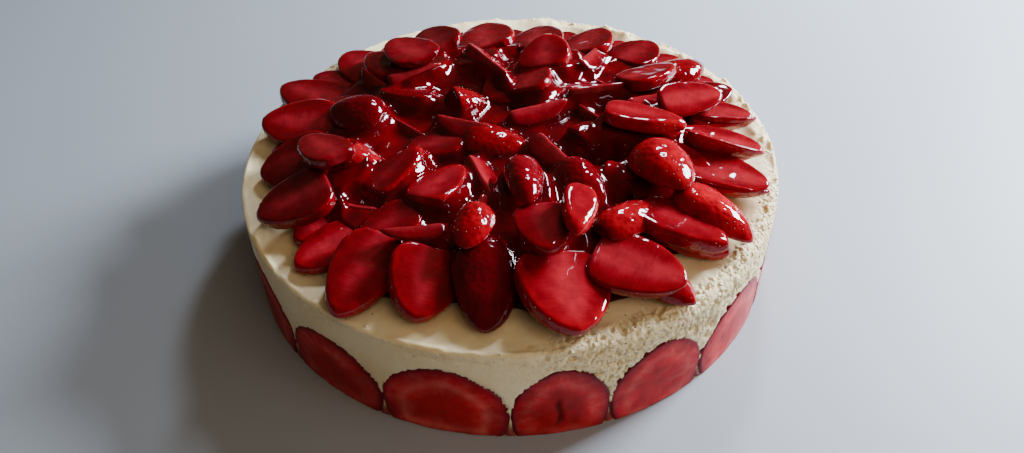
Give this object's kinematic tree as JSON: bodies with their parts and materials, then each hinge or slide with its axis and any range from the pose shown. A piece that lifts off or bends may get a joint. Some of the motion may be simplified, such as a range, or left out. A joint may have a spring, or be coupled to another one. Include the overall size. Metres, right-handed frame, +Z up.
{
  "type": "fraisier cake",
  "caption": "Round, uncut strawberry cream cake with halved strawberries in its side and a glazed heap of cut strawberries on top.",
  "frame": {"origin": "centre of the cake on the surface that it stands on", "axes": "+Z up; the picture looks along +Y and down from about 42 degrees above; +X to its right"},
  "size_m": [0.22, 0.22, 0.0735],
  "materials": {
    "cream": "soft set vanilla cream, smeared, slightly porous",
    "cut_strawberry": "moist cut strawberry face",
    "glazed_strawberry": "strawberry under a wet, clear glaze",
    "strawberry_jelly": "dark glossy strawberry jelly"
  },
  "bodies": {
    "root": {"cream": "cream", "side_01": "cut_strawberry", "side_02": "cut_strawberry", "side_03": "cut_strawberry", "side_04": "cut_strawberry", "side_05": "cut_strawberry", "side_06": "cut_strawberry", "side_07": "cut_strawberry", "side_08": "cut_strawberry", "side_09": "cut_strawberry", "side_10": "cut_strawberry", "side_11": "cut_strawberry", "side_12": "cut_strawberry", "side_13": "cut_strawberry", "side_14": "cut_strawberry", "side_15": "cut_strawberry", "side_16": "cut_strawberry", "jelly_bed": "strawberry_jelly", "ring_01": "glazed_strawberry", "ring_02": "glazed_strawberry", "ring_03": "glazed_strawberry", "ring_04": "glazed_strawberry", "ring_05": "glazed_strawberry", "ring_06": "glazed_strawberry", "ring_07": "glazed_strawberry", "ring_08": "glazed_strawberry", "ring_09": "glazed_strawberry", "ring_10": "glazed_strawberry", "ring_11": "glazed_strawberry", "ring_12": "glazed_strawberry", "ring_13": "glazed_strawberry", "ring_14": "glazed_strawberry", "ring_15": "glazed_strawberry", "ring_16": "glazed_strawberry", "ring_17": "glazed_strawberry", "ring_18": "glazed_strawberry", "ring_19": "glazed_strawberry", "ring_20": "glazed_strawberry", "ring_21": "glazed_strawberry", "ring_22": "glazed_strawberry", "ring_23": "glazed_strawberry", "ring_24": "glazed_strawberry", "heap_01": "glazed_strawberry", "heap_02": "glazed_strawberry", "heap_03": "glazed_strawberry", "heap_04": "glazed_strawberry", "heap_05": "glazed_strawberry", "heap_06": "glazed_strawberry", "heap_07": "glazed_strawberry", "heap_08": "glazed_strawberry", "heap_09": "glazed_strawberry", "heap_10": "glazed_strawberry", "heap_11": "glazed_strawberry", "heap_12": "glazed_strawberry", "heap_13": "glazed_strawberry", "heap_14": "glazed_strawberry", "heap_15": "glazed_strawberry", "heap_16": "glazed_strawberry", "heap_17": "glazed_strawberry", "heap_18": "glazed_strawberry"}
  },
  "joints": []
}
